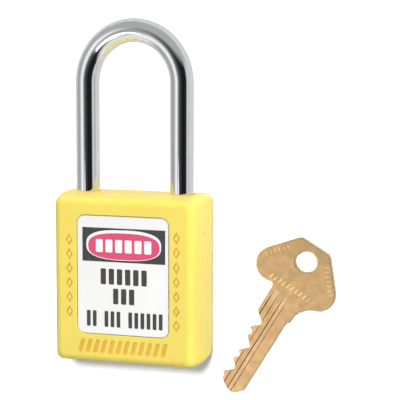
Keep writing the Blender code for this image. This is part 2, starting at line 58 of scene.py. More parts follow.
OVERSHOOT = 0.5 * MM  # of a cutter past the surface that it opens
GAP = 0.3 * MM  # between pieces that slide on each other

# Body
CORNER_RADIUS = 2.2 * MM  # of the outline seen from the front
CORNER_EASE = 0.4  # of the corner radius, for each unit that the outline is set in
SIDE_BULGE = 1.2 * MM  # the four sides stand this far proud at mid depth
SIDE_BAND = 4.0 * MM  # depth of the flat strip along the middle of each side
FRONT_EDGE_RADIUS = 2.0 * MM
BACK_EDGE_RADIUS = 0.4 * MM
MOUTH_RADIUS = 0.35 * MM  # rounding of the pockets' mouths
MOUTH_TURN_DEG = 75  # of that rounding, which then runs on straight
RECESS_MOUTH_RADIUS = 0.25 * MM
CAVITY_ROOF = 2.25 * MM  # plastic over the cylinder's pocket
SPRING_SEAT_HEIGHT = 6.85 * MM

# Label
LABEL_CORNER_RADIUS = 2.0 * MM
LABEL_EDGE = 0.08 * MM
FILM_GROWTH = 0.15 * MM  # of the film on each side, into the recess's gap

# Print on the label, with places from the print's centre
PRINT_SHIFT = 0.3 * MM  # print centre beside the label's centre
INK = 0.02 * MM  # thickness of each printed layer
PRINT_BAND = (22.8 * MM, 8.95 * MM)
PRINT_BAND_RISE = 8.1 * MM
PRINT_BAND_CORNER = 0.1 * MM
WHITE_OVAL = ((0, 8.14 * MM), 10.3 * MM, 3.98 * MM)  # centre, half width and half height
RED_OVAL = ((0.05 * MM, 7.82 * MM), 9.8 * MM, 3.5 * MM)
BLOCK_CORNER = 0.3 * MM
# Rows of blocks: left, right, low, high, blocks in each group, space between groups, share that is ink
WHITE_ROW = (-8.0 * MM, 8.0 * MM, 6.15 * MM, 9.55 * MM, (6,), 0, 0.72)
DARK_ROWS = (
    (-6.75 * MM, 6.75 * MM, -2.35 * MM, 1.85 * MM, (6,), 0, 0.66),
    (-3.3 * MM, 3.3 * MM, -7.5 * MM, -3.35 * MM, (3,), 0, 0.66),
    (-10.6 * MM, 11.0 * MM, -13.7 * MM, -9.45 * MM, (2, 3, 6), 1.6 * MM, 0.62),
)

# Engraving on the front face
MARK_X = 14.75 * MM
MARK_PITCH = 3.84 * MM
MARK_SIZE = (1.9 * MM, 2.9 * MM)
MARK_STROKE = 0.42 * MM
MARK_DEPTH = 0.25 * MM
MARK_DRAFT = 0.12 * MM  # how much wider the band's grooves are at the face than at the floor, on each side
LOZENGE_SECTION = ((0.5, OVERSHOOT), (0.42, 0), (0.12, -MARK_DEPTH))  # half width as a share of its stroke, Z
LOZENGE_GROWTH = (1.2, 1.8)  # how far its corners move, across and up, for each unit that its sides do
LEFT_MARKS = (6, 10.65 * MM)  # count, and the first one's Y
RIGHT_MARKS = (7, 12.25 * MM)
BAND_MARKS = 12
BAND_CENTRE = -17.45 * MM
BAND_WIDTH = 25.0 * MM
BAND_HEIGHT = 3.6 * MM
BAND_STROKE = 1.15 * MM
BAND_SLANT = 0.28  # run over rise

# Shackle
ARCH_RISE = 13.8 * MM
LEG_CHAMFER = 0.6 * MM
TOE_DEPTH = 9.0 * MM
NECK_END_SLOPE = 0.6 * MM

# Cylinder
SCREW_HEAD_HEIGHT = 1.5 * MM
SCREW_SHANK_RADIUS = 1.1 * MM
COVER_THICKNESS = 0.6 * MM
PIN_RADIUS = 1.3 * MM
PLUG_GROOVE = (31.5 * MM, 32.9 * MM, 0.8 * MM)  # start, end and depth
KEYWAY = (2.3 * MM, 8.6 * MM, 26.0 * MM)  # width, height and depth
KEYWAY_WARDS = ((-1, -1.3 * MM, -0.2 * MM), (1, -2.85 * MM, -1.95 * MM), (-1, 1.8 * MM, 2.8 * MM))  # side, Z
WARD_REACH = 0.4 * MM
TAIL_SLOT = (2.2 * MM, 1.5 * MM)  # width and depth
FACE_CHAMFER = 0.25 * MM

# Key
KEY_TIP = (23.3 * MM, -31.15 * MM)
KEY_ANGLE_DEG = 59.0
BLADE_LENGTH = 25.2 * MM
BLADE_WIDTH = 8.3 * MM
NECK_END = 29.4 * MM
KEY_LENGTH = 46.8 * MM
FIRST_PIN = 4.6 * MM
PIN_PITCH = 3.65 * MM
CUT_HEIGHTS = [height * MM for height in (5.6, 6.5, 4.9, 6.1, 5.2, 6.7)]
CUT_FLAT = 1.0 * MM
CUT_SLOPE_DEG = 48.0
TIP_HEIGHT = 2.4 * MM
TIP_CHAMFER = 1.4 * MM
LOBE_RADIUS = 4.5 * MM
LOBE_OFFSET = 7.3 * MM
LOBE_RISE = 7.0 * MM
BOW_CORNER_OFFSET = 3.4 * MM
BOW_CORNER_RADIUS = 2.4 * MM
BOW_SLANT_DEG = 50.0
NOTCH_RADIUS = 1.3 * MM
SWEEP_RADIUS = 6.2 * MM
SHOULDER_WIDTH = 0.7 * MM
KEY_HOLE_RADIUS = 3.0 * MM
KEY_HOLE_INSET = 4.9 * MM
KEY_EDGE = 0.22 * MM
KEY_EDGE_SEGMENTS = 3
KEY_EDGE_DEG = 60  # corners sharper than this are rounded
FLAT_NORMAL = 0.95  # least Z of the normal of a face that counts as flat
GROOVE_DEPTH = 0.5 * MM
GROOVE_RUN_OUT = 6.0 * MM
GROOVE_FLOOR = 0.32  # half of the floor's width, as a share of the groove's
# Grooves: low and high edges from the blade's middle, end beyond the neck's end, 1 for the top or -1
GROOVES = (
    (-1.4 * MM, 0.1 * MM, 1.5 * MM, 1),
    (1.35 * MM, 3.35 * MM, 1.5 * MM, 1),
    (-3.0 * MM, -1.8 * MM, 0, -1),
)
STAMP_DEPTH = 0.14 * MM
STAMP_DRAFT = 0.06 * MM
EDGE_STAMPS = ((1, 6), (-1, 7))  # side of the bow, count
EDGE_STAMP = (1.25 * MM, 0.36 * MM)  # length and width
EDGE_STAMP_PITCH = 1.25 * MM
EDGE_STAMP_INSET = 1.5 * MM
EDGE_STAMP_START = -0.6  # in pitches from the lobe's middle
ROW_STAMPS = 10
ROW_STAMP = (1.7 * MM, 0.42 * MM)
ROW_STAMP_PITCH = 1.3 * MM
ROW_STAMP_PLACE = 4.2 * MM  # beyond the neck's end

NOISE_SPAN = (0.3, 0.7)  # where nearly all values of a noise lie

# Facets
ROUND = 96
LEG_SIDES = 64
ARCH_STEPS = 110
CORNER_STEPS = 10
SIDE_STEPS = 7
EDGE_STEPS = 10
MOUTH_STEPS = 6
NOTCH_STEPS = 12
SWEEP_STEPS = 20
LOBE_STEPS = 30
WHEEL_STEPS = 15
SMALL_CORNER_STEPS = 4
TINY_CORNER_STEPS = 2
SHARP_DEG = 32

# Studio
FLOOR_REACH = 4.0
FLOOR_THICKNESS = 0.02
FLOOR_DROP = 0.05 * MM  # below the lock's back
FLOOR_WHITE = (0.96, 0.96, 0.965)
FLOOR_IN_GLOSS = (0.40, 0.40, 0.405)
AMBIENT = (0.175, 0.195, 0.23)
BACKDROP_GREY = 0.97
# What gloss shows, as (direction round Y from +Z towards +X in degrees, grey)
SURROUNDINGS = ((-90, 0.45), (-65, 0.4), (-52, 0.6), (-45, 1.0), (-30, 1.0), (-20, 0.4), (-8, 0.09),
                (5, 0.05), (20, 0.012), (50, 0.012), (58, 0.06), (64, 0.45), (72, 0.78), (90, 0.5))
SURROUNDINGS_TINT = (1.0, 1.0, 1.02)
LOW_CARD = (-0.75, -0.55, 0.85)  # full and gone at these values of the direction's Y; grey
HIGH_CARD = (0.5, 0.25, 0.45)
LIGHT_AIM = (0.015, 0.01, 0.01)
PANEL_AIM = (0.035, -0.015, 0)
WARM_WHITE = (1.0, 0.99, 0.96)

# Camera
CAMERA_PLACE = Vector((0.1232, 0.06875, 0.3649))
CAMERA_AIM = Vector((0.0181, 0.02115, 0.0100))
CAMERA_ROLL_DEG = 0.18
CAMERA_LENS = 128.24
CAMERA_CLIP = (0.01, 20)

# Read from the frame
body_low, body_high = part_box("body_shell")
label_low, label_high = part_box("front_label")
shackle_low, shackle_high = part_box("shackle")
shell_low, shell_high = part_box("cylinder_shell")
plug_low, plug_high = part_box("plug")
screw_low, screw_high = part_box("cylinder_screw")
cover_low, cover_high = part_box("spring_cover")
ball_low, ball_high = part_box("ball_right")
key_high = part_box("key")[1]
joint_ends = {joint["name"]: joint["range_m"][1] for joint in frame["joints"] if "range_m" in joint}

BOTTOM = body_low.y
LABEL_CENTRE = (label_low + label_high) / 2
BODY_WIDTH = body_high.x - body_low.x
BODY_HEIGHT = body_high.y - BOTTOM
HALF_DEPTH = (body_high.z - body_low.z) / 2
LOCK_ORIGIN = Vector((0, BOTTOM, body_low.z + HALF_DEPTH))
LEG_RADIUS = (shackle_high.z - shackle_low.z) / 2
LEG_X = shackle_high.x - LEG_RADIUS
LEG_BORE_RADIUS = LEG_RADIUS + GAP
HEEL_END = shackle_low.y - BOTTOM
TOE_END = BODY_HEIGHT - TOE_DEPTH
TOE_FLOOR = screw_high.y - BOTTOM - SCREW_HEAD_HEIGHT - GAP
FACE = shell_low.y - BOTTOM
SHELL_RADIUS = (shell_high.z - shell_low.z) / 2
SHELL_END = shell_high.y - BOTTOM
BIBLE_REACH = shell_high.x
BIBLE_HALF = (cover_high.z - cover_low.z) / 2 + GAP
PLUG_RADIUS = (plug_high.z - plug_low.z) / 2
PLUG_END = plug_high.y - BOTTOM
CHAMBER_RADIUS = PIN_RADIUS + GAP
BALL_RADIUS = (ball_high.z - ball_low.z) / 2
BALL_HEIGHT = (ball_low.y + ball_high.y) / 2 - BOTTOM
BALL_OUT = (ball_low.x + ball_high.x) / 2 + joint_ends["ball_right_slide"]
SHACKLE_LIFT = joint_ends["shackle_lift"]
PIN_HEIGHTS = [sum(corner.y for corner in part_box(f"key_pin_{i + 1}")) / 2 - BOTTOM
               for i in range(len(CUT_HEIGHTS))]
KEY_THICKNESS = key_high.z

AXIS_X = Matrix.Rotation(math.radians(-90), 4, "Z")
AXIS_Z = Matrix.Rotation(math.radians(90), 4, "X")


# Mesh helpers

def skin_rings(rings, closed=False):
    """A mesh through rings of points with equal counts, with flat ends unless it closes on itself."""
    mesh_data = bmesh.new()
    loops = [[mesh_data.verts.new(point) for point in ring] for ring in rings]
    spans = list(zip(loops, loops[1:]))
    if closed:
        spans.append((loops[-1], loops[0]))
    else:
        mesh_data.faces.new(loops[0])
        mesh_data.faces.new(loops[-1])
    for lower, upper in spans:
        for i in range(len(lower)):
            j = (i + 1) % len(lower)
            mesh_data.faces.new((lower[i], lower[j], upper[j], upper[i]))
    bmesh.ops.recalc_face_normals(mesh_data, faces=mesh_data.faces)
    return mesh_data


def moved(mesh_data, matrix=None, offset=(0, 0, 0)):
    if matrix is not None:
        bmesh.ops.transform(mesh_data, matrix=matrix, verts=mesh_data.verts)
    bmesh.ops.translate(mesh_data, vec=offset, verts=mesh_data.verts)
    return mesh_data


def joined(parts):
    """One mesh that holds several that don't touch each other."""
    whole = bmesh.new()
    for part in parts:
        copied = {vert: whole.verts.new(vert.co) for vert in part.verts}
        for face in part.faces:
            whole.faces.new([copied[vert] for vert in face.verts])
        part.free()
    return whole


def turned(profile, sides=ROUND):
    """A turned piece about the Y axis, from (radius, height) pairs."""
    angles = [2 * math.pi * i / sides for i in range(sides)]
    rings = [[(r * math.cos(a), h, r * math.sin(a)) for a in angles] for r, h in profile]
    return skin_rings(rings)


def rod(radius, start, end, sides=ROUND):
    return turned([(radius, start), (radius, end)], sides)


def box(low, high):
    mesh_data = bmesh.new()
    bmesh.ops.create_cube(mesh_data, size=1)
    low, high = Vector(low), Vector(high)
    bmesh.ops.scale(mesh_data, vec=high - low, verts=mesh_data.verts)
    return moved(mesh_data, offset=(low + high) / 2)


def arc(centre, radius, start_deg, end_deg, steps):
    """Points on an arc, with both of its ends."""
    angles = np.radians(np.linspace(start_deg, end_deg, steps + 1))
    return [(centre[0] + radius * math.cos(a), centre[1] + radius * math.sin(a)) for a in angles]


def flat_ring(outline, z):
    return [(x, y, z) for x, y in outline]


def prism(outline, low, high):
    return skin_rings([flat_ring(outline, low), flat_ring(outline, high)])


def rounded_rectangle(width, height, radius, steps=CORNER_STEPS):
    outline = []
    for side, end, start_deg in ((1, 1, 0), (-1, 1, 90), (-1, -1, 180), (1, -1, 270)):
        centre = (side * (width / 2 - radius), end * (height / 2 - radius))
        outline += arc(centre, radius, start_deg, start_deg + 90, steps)
    return outline


def superellipse(centre, half_width, half_height, power=2.7, count=96):
    """A closed oval that is a little squarer than an ellipse."""
    outline = []
    for i in range(count):
        across, along = math.cos(2 * math.pi * i / count), math.sin(2 * math.pi * i / count)
        outline.append((centre[0] + half_width * math.copysign(abs(across) ** (2 / power), across),
                        centre[1] + half_height * math.copysign(abs(along) ** (2 / power), along)))
    return outline


def mouth(radius=MOUTH_RADIUS):
    """A pocket's rounded mouth as (widening, rise) pairs, with the rise measured from the open face."""
    turns = np.radians(np.linspace(0, MOUTH_TURN_DEG, MOUTH_STEPS + 1))
    pairs = [(radius * (1 - math.cos(t)), radius * (math.sin(t) - 1)) for t in turns]
    slope = math.tan(math.radians(MOUTH_TURN_DEG))
    pairs.append((pairs[-1][0] + (OVERSHOOT - pairs[-1][1]) * slope, OVERSHOOT))
    return pairs


def bore_with_mouth(radius, floor, face, sides=ROUND):
    """Cutter for a round bore about the Y axis. The face may lie above or below the floor."""
    way = math.copysign(1, face - floor)
    profile = [(radius, floor)] + [(radius + widening, face + way * rise) for widening, rise in mouth()]
    return turned(profile, sides)


# Object helpers

def make_object(name, mesh_data, materials=()):
    mesh = bpy.data.meshes.new(name)
    mesh_data.to_mesh(mesh)
    mesh_data.free()
    for material in materials:
        mesh.materials.append(material)
    obj = bpy.data.objects.new(name, mesh)
    bpy.context.scene.collection.objects.link(obj)
    return obj


def apply_modifiers(obj):
    graph = bpy.context.evaluated_depsgraph_get()
    mesh = bpy.data.meshes.new_from_object(obj.evaluated_get(graph))
    obj.modifiers.clear()
    obj.data = mesh


def combine(target, mesh_data, material, operation="DIFFERENCE"):
    """Cuts the mesh from the target, or joins it on. The new faces take the material."""
    tool = make_object("tool", mesh_data, [material])
    tool.location = target.location
    modifier = target.modifiers.new("combine", "BOOLEAN")
    modifier.operation = operation
    modifier.object = tool
    modifier.material_mode = "TRANSFER"
    apply_modifiers(target)
    bpy.data.objects.remove(tool)


def finish_piece(obj, body, slot, *nodes, sharp_deg=SHARP_DEG):
    """Smooth shading, the body that the piece rides on, and the CAD nodes that it stands for, which are hidden."""
    obj.data.shade_smooth()
    obj.data.set_sharp_from_angle(angle=math.radians(sharp_deg))
    weighting = obj.modifiers.new("weighted normals", "WEIGHTED_NORMAL")
    weighting.keep_sharp = True
    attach(obj, body)
    if nodes:
        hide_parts(*nodes)


# Materials

def colour_ramp(tree, factor, stops):
    """The colours that a factor picks between stops, each a position and a colour."""
    ramp = tree.nodes.new("ShaderNodeValToRGB")
    while len(ramp.color_ramp.elements) < len(stops):
        ramp.color_ramp.elements.new(0.5)
    for element, (position, colour) in zip(ramp.color_ramp.elements, stops):
        element.position = position
        element.color = (*colour, 1.0)
    tree.links.new(factor, ramp.inputs["Fac"])
    return ramp.outputs["Color"]


def blend(tree, factor, first, second):
    """Mixes two colours, each given as a grey, as a colour or as another node's output."""
    mix = tree.nodes.new("ShaderNodeMix")
    mix.data_type = "RGBA"
    tree.links.new(factor, mix.inputs["Factor"])
    for socket, value in (("A", first), ("B", second)):
        if isinstance(value, float):
            mix.inputs[socket].default_value = (value, value, value, 1.0)
        elif isinstance(value, tuple):
            mix.inputs[socket].default_value = (*value, 1.0)
        else:
            tree.links.new(value, mix.inputs[socket])
    return mix.outputs["Result"]


def remap(tree, value, low, high, to_low=0.0, to_high=1.0):
    node = tree.nodes.new("ShaderNodeMapRange")
    for socket, limit in (("From Min", low), ("From Max", high), ("To Min", to_low), ("To Max", to_high)):
        node.inputs[socket].default_value = limit
    tree.links.new(value, node.inputs["Value"])
    return node.outputs["Result"]


class Shading:
    """A Principled material with the few node chains that these finishes share."""

    def __init__(self, name, colour, roughness, metallic=0.0, **settings):
        self.material = bpy.data.materials.new(name)
        self.material.use_nodes = True
        self.tree = self.material.node_tree
        self.shader = self.tree.nodes["Principled BSDF"]
        self.set("Base Color", (*colour, 1.0))
        self.set("Roughness", roughness)
        self.set("Metallic", metallic)
        for socket, value in settings.items():
            self.set(socket.replace("_", " "), value)
        self.place = self.tree.nodes.new("ShaderNodeTexCoord").outputs["Object"]

    def set(self, socket, value):
        self.shader.inputs[socket].default_value = value

    def link(self, output, target):
        self.tree.links.new(output, target)

    def noise(self, scale, detail=3.0, stretch=(1, 1, 1), turn_deg=0.0):
        """Noise with features of about 1/scale metres, drawn out where stretch is below 1."""
        mapping = self.tree.nodes.new("ShaderNodeMapping")
        mapping.vector_type = "TEXTURE"
        mapping.inputs["Rotation"].default_value = (0, 0, math.radians(turn_deg))
        mapping.inputs["Scale"].default_value = [1 / part for part in stretch]
        texture = self.tree.nodes.new("ShaderNodeTexNoise")
        texture.inputs["Scale"].default_value = scale
        texture.inputs["Detail"].default_value = detail
        self.link(self.place, mapping.inputs["Vector"])
        self.link(mapping.outputs["Vector"], texture.inputs["Vector"])
        return texture.outputs["Fac"]

    def colours(self, factor, stops):
        self.link(colour_ramp(self.tree, factor, stops), self.shader.inputs["Base Color"])

    def roughness(self, factor, low, high):
        self.link(remap(self.tree, factor, *NOISE_SPAN, low, high), self.shader.inputs["Roughness"])

    def bump(self, height, distance, strength=1.0):
        """Adds to the bumps so far."""
        bump = self.tree.nodes.new("ShaderNodeBump")
        bump.inputs["Strength"].default_value = strength
        bump.inputs["Distance"].default_value = distance
        self.link(height, bump.inputs["Height"])
        normal = self.shader.inputs["Normal"]
        if normal.links:
            self.link(normal.links[0].from_socket, bump.inputs["Normal"])
        self.link(bump.outputs["Normal"], normal)


def moulded_plastic(name, light, dark):
    shading = Shading(name, light, 0.34, IOR=1.46)
    shading.colours(shading.noise(90, 2.0), ((0.35, dark), (0.65, light)))
    shading.roughness(shading.noise(260, 4.0), 0.27, 0.42)
    shading.bump(shading.noise(4500, 2.0), 0.006 * MM, 0.5)
    shading.bump(shading.noise(240, 2.0), 0.03 * MM, 0.3)
    return shading.material


def polished_chrome():
    shading = Shading("chrome", (0.86, 0.865, 0.88), 0.05, 1.0)
    shading.colours(shading.noise(150, 2.0), ((0.3, (0.83, 0.835, 0.85)), (0.7, (0.88, 0.885, 0.9))))
    shading.roughness(shading.noise(900, 5.0, (1, 0.15, 1)), 0.03, 0.085)
    shading.bump(shading.noise(160, 2.0), 0.02 * MM, 0.4)
    return shading.material


def brass_finish(name, light, dark, roughness=(0.3, 0.42)):
    """Rolled brass with fine lines along the key."""
    shading = Shading(name, light, roughness[0], 1.0)
    shading.colours(shading.noise(170, 5.0), ((0.3, dark), (0.7, light)))
    shading.roughness(shading.noise(500, 5.0), *roughness)
    lines = shading.noise(2600, 3.0, (0.05, 1, 1), KEY_ANGLE_DEG)
    shading.bump(lines, 0.006 * MM, 0.5)
    shading.bump(shading.noise(700, 4.0), 0.012 * MM, 0.4)
    return shading.material


def turned_metal(name, light, dark, roughness):
    shading = Shading(name, light, roughness[0], 1.0)
    shading.colours(shading.noise(400, 4.0), ((0.3, dark), (0.7, light)))
    shading.roughness(shading.noise(1200, 4.0, (1, 0.2, 1)), *roughness)
    shading.bump(shading.noise(3000, 2.0), 0.005 * MM, 0.5)
    return shading.material


def label_film():
    shading = Shading("label_film", (0.560, 0.556, 0.552), 0.2, IOR=1.5, Coat_Weight=0.2)
    shading.colours(shading.noise(60, 2.0), ((0.3, (0.550, 0.546, 0.542)), (0.7, (0.570, 0.566, 0.562))))
    shading.roughness(shading.noise(300, 3.0), 0.16, 0.28)
    shading.bump(shading.noise(220, 3.0), 0.01 * MM, 0.5)
    return shading.material


def ink(name, light, dark, speckle=2500):
    shading = Shading(name, light, 0.35)
    shading.colours(shading.noise(speckle, 2.0), ((0.42, dark), (0.62, light)))
    shading.roughness(shading.noise(900, 3.0), 0.28, 0.45)
    shading.bump(shading.noise(3500, 2.0), 0.006 * MM, 0.6)
    return shading.material


def floor_finish():
    """Nearly white, and a middle grey in what gloss shows, as if it ended near the lock."""
    shading = Shading("studio_floor", FLOOR_WHITE, 1.0, Specular_IOR_Level=0.0)
    path = shading.tree.nodes.new("ShaderNodeLightPath").outputs
    shown = blend(shading.tree, path["Is Glossy Ray"], FLOOR_WHITE, FLOOR_IN_GLOSS)
    shading.link(shown, shading.shader.inputs["Base Color"])
    return shading.material


# Body

def side_half(edge_radius):
    """Half of a side, from mid depth to a face, as (how far it is set in, distance from mid depth)."""
    half_band = SIDE_BAND / 2
    radius = ((HALF_DEPTH - half_band)**2 + SIDE_BULGE**2) / (2 * SIDE_BULGE)
    edge_z = HALF_DEPTH - edge_radius
    edge_inset = radius - math.sqrt((radius - edge_radius)**2 - (edge_z - half_band)**2)
    meet_deg = 180 - math.degrees(math.atan2(edge_z - half_band, radius - edge_inset))
    side = arc((radius, half_band), radius, 180, meet_deg, SIDE_STEPS)
    return side + arc((edge_inset, edge_z), edge_radius, meet_deg, 90, EDGE_STEPS)[1:]


def body_blank():
    """A rounded block whose four sides stand proud at mid depth."""
    back = [(inset, -z) for inset, z in side_half(BACK_EDGE_RADIUS)]
    rings = []
    for inset, z in back[::-1] + side_half(FRONT_EDGE_RADIUS):
        outline = rounded_rectangle(BODY_WIDTH - 2 * inset, BODY_HEIGHT - 2 * inset,
                                    CORNER_RADIUS - CORNER_EASE * inset)
        rings.append([(x, BODY_HEIGHT / 2 + y, z) for x, y in outline])
    return skin_rings(rings)


def label_recess():
    width = label_high.x - label_low.x + 2 * GAP
    height = label_high.y - label_low.y + 2 * GAP
    floor = label_low.z - GAP - LOCK_ORIGIN.z
    radius = LABEL_CORNER_RADIUS + GAP
    rings = [flat_ring(rounded_rectangle(width, height, radius), floor)]
    for widening, rise in mouth(RECESS_MOUTH_RADIUS):
        outline = rounded_rectangle(width + 2 * widening, height + 2 * widening, radius + widening)
        rings.append(flat_ring(outline, HALF_DEPTH + rise))
    return moved(skin_rings(rings), offset=(LABEL_CENTRE.x, LABEL_CENTRE.y - BOTTOM, 0))


def lozenge_mark(x, height):
    """Cutter for a lozenge outline, with a groove that narrows to its floor."""
    reach_x, reach_y = [(size - MARK_STROKE) / 2 for size in MARK_SIZE]
    inner_wall = [(-share, z) for share, z in LOZENGE_SECTION]
    rings = []
    for side, end in ((1, 0), (0, 1), (-1, 0), (0, -1)):
        ring = []
        for share, z in (*LOZENGE_SECTION, *inner_wall[::-1]):
            grow_x, grow_y = [share * MARK_STROKE * growth for growth in LOZENGE_GROWTH]
            ring.append((x + side * (reach_x + grow_x), height + end * (reach_y + grow_y), HALF_DEPTH + z))
        rings.append(ring)
    return skin_rings(rings, closed=True)


def groove_cutter(size, stroke, depth, face, slant, draft):
    """Cutter at the origin for one bar with sloping walls and rounded ends, which leans by slant."""
    rings = []
    for widening, z in ((-draft, -depth), (0, 0), (OVERSHOOT * draft / depth, OVERSHOOT)):
        outline = rounded_rectangle(stroke + 2 * widening, size + 2 * widening, stroke / 3 + widening,
                                    SMALL_CORNER_STEPS)
        rings.append([(x + slant * y, y, face + z) for x, y in outline])
    return skin_rings(rings)


def engraved_marks():
    parts = []
    for side, (count, first) in ((-1, LEFT_MARKS), (1, RIGHT_MARKS)):
        for i in range(count):
            parts.append(lozenge_mark(side * MARK_X, first - i * MARK_PITCH - BOTTOM))
    reach = (BAND_WIDTH - BAND_STROKE - BAND_SLANT * BAND_HEIGHT) / 2
    for x in np.linspace(-reach, reach, BAND_MARKS):
        groove = groove_cutter(BAND_HEIGHT, BAND_STROKE, MARK_DEPTH, HALF_DEPTH, BAND_SLANT, MARK_DRAFT)
        parts.append(moved(groove, offset=(x, BAND_CENTRE - BOTTOM, 0)))
    return joined(parts)


def make_body(plastic, groove_shade_plastic):
    body = make_object("body_shell_fine", body_blank(), [plastic])
    body.location = LOCK_ORIGIN
    combine(body, label_recess(), plastic)
    for x, floor in ((-LEG_X, SPRING_SEAT_HEIGHT), (LEG_X, TOE_FLOOR)):
        bore = bore_with_mouth(LEG_BORE_RADIUS, floor, BODY_HEIGHT, LEG_SIDES)
        combine(body, moved(bore, offset=(x, 0, 0)), plastic)
    screw_hole = rod(SCREW_SHANK_RADIUS + GAP, SHELL_END, TOE_FLOOR + OVERSHOOT, LEG_SIDES)
    combine(body, moved(screw_hole, offset=(LEG_X, 0, 0)), plastic)
    combine(body, bore_with_mouth(SHELL_RADIUS + GAP, BODY_HEIGHT - CAVITY_ROOF, 0), plastic)
    slot = box((0, -OVERSHOOT, -BIBLE_HALF - GAP),
               (BIBLE_REACH + COVER_THICKNESS + 2 * GAP, SHELL_END + GAP, BIBLE_HALF + GAP))
    combine(body, slot, plastic)
    channel = moved(rod(BALL_RADIUS + GAP, -LEG_X, LEG_X, LEG_SIDES), AXIS_X, (0, BALL_HEIGHT, 0))
    combine(body, channel, plastic)
    # The engraved grooves' faces take a darker orange copy of the plastic: painted shade for the grooves' shading
    # and yellow interreflection.
    combine(body, engraved_marks(), groove_shade_plastic)
    finish_piece(body, "body", "yellow_plastic", "body_shell")


# Label

def make_label(film):
    width = label_high.x - label_low.x + 2 * FILM_GROWTH
    height = label_high.y - label_low.y + 2 * FILM_GROWTH
    rings = []
    for inset, z in ((0, label_low.z), (0, label_high.z - LABEL_EDGE), (LABEL_EDGE, label_high.z)):
        outline = rounded_rectangle(width - 2 * inset, height - 2 * inset, LABEL_CORNER_RADIUS - inset)
        rings.append(flat_ring(outline, z))
    label = make_object("front_label_film", skin_rings(rings), [film])
    label.location = (LABEL_CENTRE.x, LABEL_CENTRE.y, 0)
    finish_piece(label, "body", "label_film", "front_label")


def make_print(name, outlines, layer, material):
    """Flat shapes of ink. Each layer sinks into the one under it."""
    low = label_high.z + (layer - 0.5) * INK
    print_obj = make_object(name, joined([prism(outline, low, low + 1.5 * INK) for outline in outlines]),
                            [material])
    print_obj.location = (PRINT_SHIFT + LABEL_CENTRE.x, LABEL_CENTRE.y, 0)
    finish_piece(print_obj, "body", "label_film")


def block_row(left, right, low, high, counts, space, fill):
    """A row of plain upright blocks in groups, from left to right."""
    pitch = (right - left - space * (len(counts) - 1)) / sum(counts)
    outlines = []
    start = left
    for count in counts:
        for i in range(count):
            centre = (start + (i + 0.5) * pitch, (low + high) / 2)
            block = rounded_rectangle(fill * pitch, high - low, BLOCK_CORNER, SMALL_CORNER_STEPS)
            outlines.append([(centre[0] + x, centre[1] + y) for x, y in block])
        start += count * pitch + space
    return outlines


def make_prints():
    dark = ink("dark_ink", (0.039, 0.034, 0.034), (0.021, 0.018, 0.018))
    white = ink("white_ink", (0.62, 0.62, 0.62), (0.59, 0.59, 0.595))
    red = ink("red_ink", (0.48, 0.05, 0.118), (0.45, 0.045, 0.108))
    band = rounded_rectangle(*PRINT_BAND, PRINT_BAND_CORNER, TINY_CORNER_STEPS)
    dark_shapes = [[(x, y + PRINT_BAND_RISE) for x, y in band]]
    for row in DARK_ROWS:
        dark_shapes += block_row(*row)
    make_print("label_print_dark", dark_shapes, 0, dark)
    make_print("label_print_oval", [superellipse(*WHITE_OVAL)], 1, white)
    make_print("label_print_red", [superellipse(*RED_OVAL)], 2, red)
    make_print("label_print_marks", block_row(*WHITE_ROW), 3, white)


# Shackle

def make_shackle(chrome):
    """One bent bar: long leg at -X with its neck, half-elliptical arch, short leg at +X."""
    arch_base = shackle_high.y - BOTTOM - LEG_RADIUS - ARCH_RISE
    neck_radius = LEG_X - BALL_OUT - BALL_RADIUS - GAP
    neck_low = BALL_HEIGHT - SHACKLE_LIFT - BALL_RADIUS - GAP
    neck_high = BALL_HEIGHT - SHACKLE_LIFT + BALL_RADIUS + GAP
    heel = [(HEEL_END, LEG_RADIUS - LEG_CHAMFER), (HEEL_END + LEG_CHAMFER, LEG_RADIUS),
            (neck_low - NECK_END_SLOPE, LEG_RADIUS), (neck_low, neck_radius), (neck_high, neck_radius),
            (neck_high + NECK_END_SLOPE, LEG_RADIUS), (BODY_HEIGHT, LEG_RADIUS)]
    toe = [(BODY_HEIGHT, LEG_RADIUS), (TOE_END + LEG_CHAMFER, LEG_RADIUS),
           (TOE_END, LEG_RADIUS - LEG_CHAMFER)]
    stations = [(-LEG_X, height, 90, radius) for height, radius in heel]
    for angle in np.linspace(math.pi, 0, ARCH_STEPS + 1):
        tangent_deg = math.degrees(math.atan2(-ARCH_RISE * math.cos(angle), LEG_X * math.sin(angle)))
        stations.append((LEG_X * math.cos(angle), arch_base + ARCH_RISE * math.sin(angle), tangent_deg,
                         LEG_RADIUS))
    stations += [(LEG_X, height, -90, radius) for height, radius in toe]
    rings = []
    for x, height, tangent_deg, radius in stations:
        side = Matrix.Rotation(math.radians(tangent_deg - 90), 3, "Z") @ Vector((1, 0, 0))
        angles = [2 * math.pi * i / LEG_SIDES for i in range(LEG_SIDES)]
        rings.append([Vector((x, height, 0)) + (side * math.cos(a) + Vector((0, 0, math.sin(a)))) * radius
                      for a in angles])
    shackle = make_object("shackle_fine", skin_rings(rings), [chrome])
    shackle.location = LOCK_ORIGIN
    for side in (-1, 1):
        notch = bmesh.new()
        bmesh.ops.create_uvsphere(notch, u_segments=LEG_SIDES, v_segments=32, radius=BALL_RADIUS + GAP)
        combine(shackle, moved(notch, offset=(side * BALL_OUT, BALL_HEIGHT, 0)), chrome)
    shackle.visible_shadow = False
    shackle.visible_diffuse = False
    finish_piece(shackle, "shackle", "chromed_steel", "shackle")


# Cylinder

